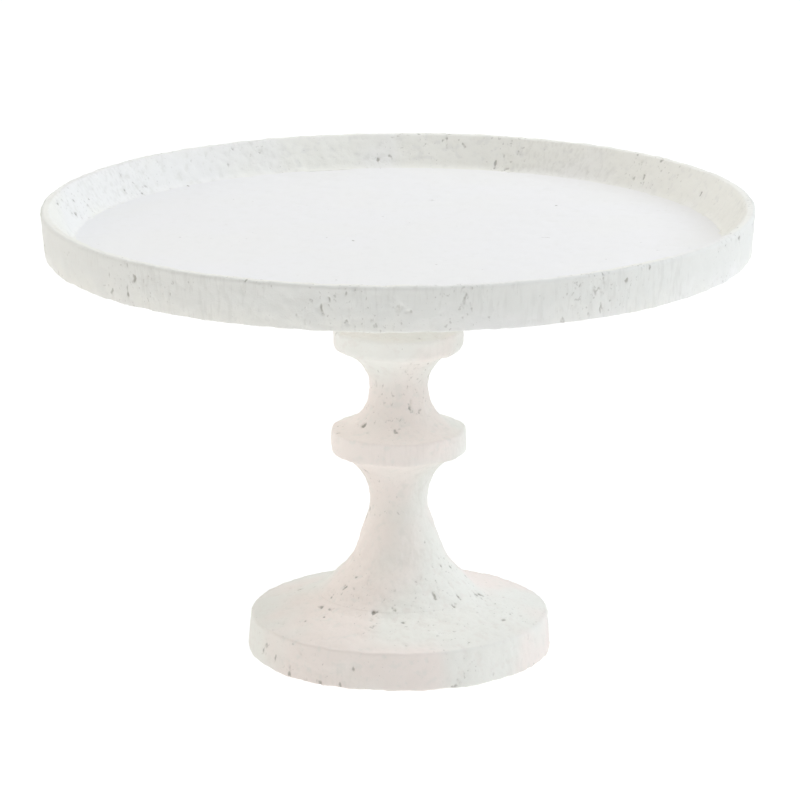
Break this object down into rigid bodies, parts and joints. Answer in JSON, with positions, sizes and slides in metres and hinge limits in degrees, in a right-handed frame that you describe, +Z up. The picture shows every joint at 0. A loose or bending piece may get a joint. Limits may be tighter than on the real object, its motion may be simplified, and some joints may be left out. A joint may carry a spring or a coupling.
{
  "type": "cake stand",
  "caption": "Round pedestal cake stand with a raised-edge tray on a turned, ringed column and a round foot, in a rough matt off-white coat.",
  "frame": {"origin": "on the floor under the middle of the foot", "axes": "+Z up along the column's axis; the stand is round about it"},
  "size_m": [0.305, 0.305, 0.1988],
  "materials": {
    "coated_wood": "thick matt mineral coat, rough, with small dark pits",
    "dowel_wood": "bare beech",
    "zinc_steel": "bright zinc plate",
    "felt": "pressed felt"
  },
  "bodies": {
    "root": {"tray_rim": "coated_wood", "tray_floor": "coated_wood", "mounting_disc": "coated_wood", "spindle": "coated_wood", "base": "coated_wood", "base_dowels": "dowel_wood", "disc_dowels": "dowel_wood", "tie_rod": "zinc_steel", "rod_nut": "zinc_steel", "rod_washer": "zinc_steel", "tee_nut": "zinc_steel", "tray_screws": "zinc_steel", "felt_feet": "felt"}
  },
  "joints": []
}
